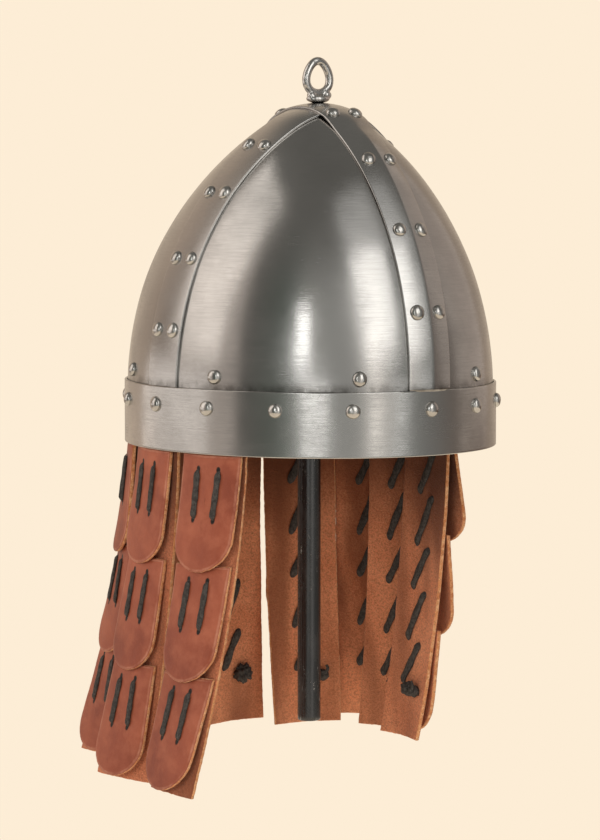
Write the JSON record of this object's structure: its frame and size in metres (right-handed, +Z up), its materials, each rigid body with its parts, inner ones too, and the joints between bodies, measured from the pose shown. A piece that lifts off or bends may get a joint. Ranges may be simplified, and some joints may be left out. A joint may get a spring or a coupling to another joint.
{
  "type": "spangenhelm helmet on a display post",
  "caption": "Conical riveted steel helmet of plates, straps and a brow band, with a laced leather scale curtain open at the face, held on a plain upright post.",
  "frame": {"origin": "centre of the helmet's rim plane, the lower edge of the brow band, where the helmet sits on a head", "axes": "+Z up through the crown along the display post, -Y the way the face looks, -X the wearer's right"},
  "size_m": [0.2447, 0.2538, 0.4168],
  "materials": {
    "brow_steel": "satin, brushed along the band",
    "strap_steel": "satin",
    "plate_steel": "satin, faint hammer marks",
    "rivet_steel": "polished",
    "ring_steel": "polished",
    "backing_leather": "suede face, raw cut edges",
    "scale_leather": "smooth grain side, raw cut edges",
    "lace_leather": "dull black thong",
    "post_paint": "satin black"
  },
  "bodies": {
    "root": {"brow_band": "brow_steel", "crown_strap_front_back": "strap_steel", "side_strap_right": "strap_steel", "side_strap_left": "strap_steel", "plate_front_right": "plate_steel", "plate_back_right": "plate_steel", "plate_back_left": "plate_steel", "plate_front_left": "plate_steel", "top_ring": "ring_steel", "backing_right_front": "backing_leather", "scale_right_front_1": "scale_leather", "scale_right_front_2": "scale_leather", "scale_right_front_3": "scale_leather", "backing_right_middle": "backing_leather", "scale_right_middle_1": "scale_leather", "scale_right_middle_2": "scale_leather", "scale_right_middle_3": "scale_leather", "backing_right_rear": "backing_leather", "scale_right_rear_1": "scale_leather", "scale_right_rear_2": "scale_leather", "scale_right_rear_3": "scale_leather", "backing_back_right": "backing_leather", "scale_back_right_1": "scale_leather", "scale_back_right_2": "scale_leather", "scale_back_right_3": "scale_leather", "backing_back_middle": "backing_leather", "scale_back_middle_1": "scale_leather", "scale_back_middle_2": "scale_leather", "scale_back_middle_3": "scale_leather", "backing_back_left": "backing_leather", "scale_back_left_1": "scale_leather", "scale_back_left_2": "scale_leather", "scale_back_left_3": "scale_leather", "backing_left_rear": "backing_leather", "scale_left_rear_1": "scale_leather", "scale_left_rear_2": "scale_leather", "scale_left_rear_3": "scale_leather", "backing_left_middle": "backing_leather", "scale_left_middle_1": "scale_leather", "scale_left_middle_2": "scale_leather", "scale_left_middle_3": "scale_leather", "backing_left_front": "backing_leather", "scale_left_front_1": "scale_leather", "scale_left_front_2": "scale_leather", "scale_left_front_3": "scale_leather", "stand_post": "post_paint"}
  },
  "joints": []
}
